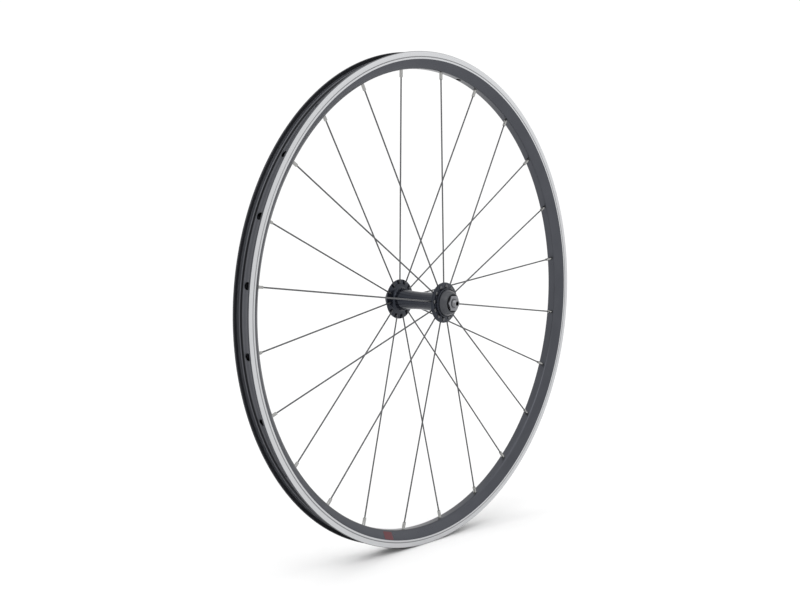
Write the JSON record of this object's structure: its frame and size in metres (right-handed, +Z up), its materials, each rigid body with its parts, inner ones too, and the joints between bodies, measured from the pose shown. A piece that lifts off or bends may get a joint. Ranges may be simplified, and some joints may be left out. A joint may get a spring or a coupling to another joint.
{
  "type": "bicycle front wheel",
  "caption": "Bicycle front wheel for rim brakes: double-wall rim, radial spokes and a cup-and-cone hub on a hollow quick-release axle.",
  "frame": {"origin": "wheel centre: on the axle's axis, midway between the locknut faces", "axes": "+Y along the axle to the wheel's left side, +Z up, +X across the wheel's plane"},
  "size_m": [0.5815, 0.108, 0.5816],
  "materials": {
    "rim_alloy": "satin dark anodised, with bright machined brake tracks",
    "hub_alloy": "black anodised",
    "spoke_steel": "black oxide stainless wire",
    "nipple_plate": "nickel plated",
    "bearing_steel": "ground and hardened",
    "axle_steel": "zinc plated",
    "cover_plastic": "moulded, satin",
    "seal_black": "moulded",
    "retainer_steel": "pressed sheet, yellow zinc",
    "label_film": "blank printed film"
  },
  "bodies": {
    "axle_set": {"axle": "axle_steel", "cone_left": "bearing_steel", "cone_right": "bearing_steel", "cone_cover_left": "cover_plastic", "cone_cover_right": "cover_plastic", "keyed_washer_left": "axle_steel", "keyed_washer_right": "axle_steel", "locknut_left": "axle_steel", "locknut_right": "axle_steel"},
    "wheel": {"rim": "rim_alloy", "rim_label": "label_film", "hub_shell": "hub_alloy", "bearing_cup_left": "bearing_steel", "bearing_cup_right": "bearing_steel", "dust_cap_left": "seal_black", "dust_cap_right": "seal_black", "nipples_left": "nipple_plate", "nipples_right": "nipple_plate", "spoke_01": "spoke_steel", "spoke_02": "spoke_steel", "spoke_03": "spoke_steel", "spoke_04": "spoke_steel", "spoke_05": "spoke_steel", "spoke_06": "spoke_steel", "spoke_07": "spoke_steel", "spoke_08": "spoke_steel", "spoke_09": "spoke_steel", "spoke_10": "spoke_steel", "spoke_11": "spoke_steel", "spoke_12": "spoke_steel", "spoke_13": "spoke_steel", "spoke_14": "spoke_steel", "spoke_15": "spoke_steel", "spoke_16": "spoke_steel", "spoke_17": "spoke_steel", "spoke_18": "spoke_steel", "spoke_19": "spoke_steel", "spoke_20": "spoke_steel", "spoke_21": "spoke_steel", "spoke_22": "spoke_steel", "spoke_23": "spoke_steel", "spoke_24": "spoke_steel"},
    "ball_cage_left": {"ball_set_left": "bearing_steel", "ball_retainer_left": "retainer_steel"},
    "ball_cage_right": {"ball_set_right": "bearing_steel", "ball_retainer_right": "retainer_steel"}
  },
  "joints": [
    {"name": "wheel_spin", "type": "hinge", "parent": "axle_set", "child": "wheel", "pos_m": [0, 0, 0], "axis": [0, 1, 0], "continuous": true},
    {"name": "ball_cage_left_spin", "type": "hinge", "parent": "axle_set", "child": "ball_cage_left", "pos_m": [0, 0.0359, 0], "axis": [0, 1, 0], "continuous": true},
    {"name": "ball_cage_right_spin", "type": "hinge", "parent": "axle_set", "child": "ball_cage_right", "pos_m": [0, -0.0359, 0], "axis": [0, 1, 0], "continuous": true}
  ],
  "couplings": [
    {"joint": "ball_cage_left_spin", "follows": "wheel_spin", "ratio": 0.6014},
    {"joint": "ball_cage_right_spin", "follows": "wheel_spin", "ratio": 0.6014}
  ]
}
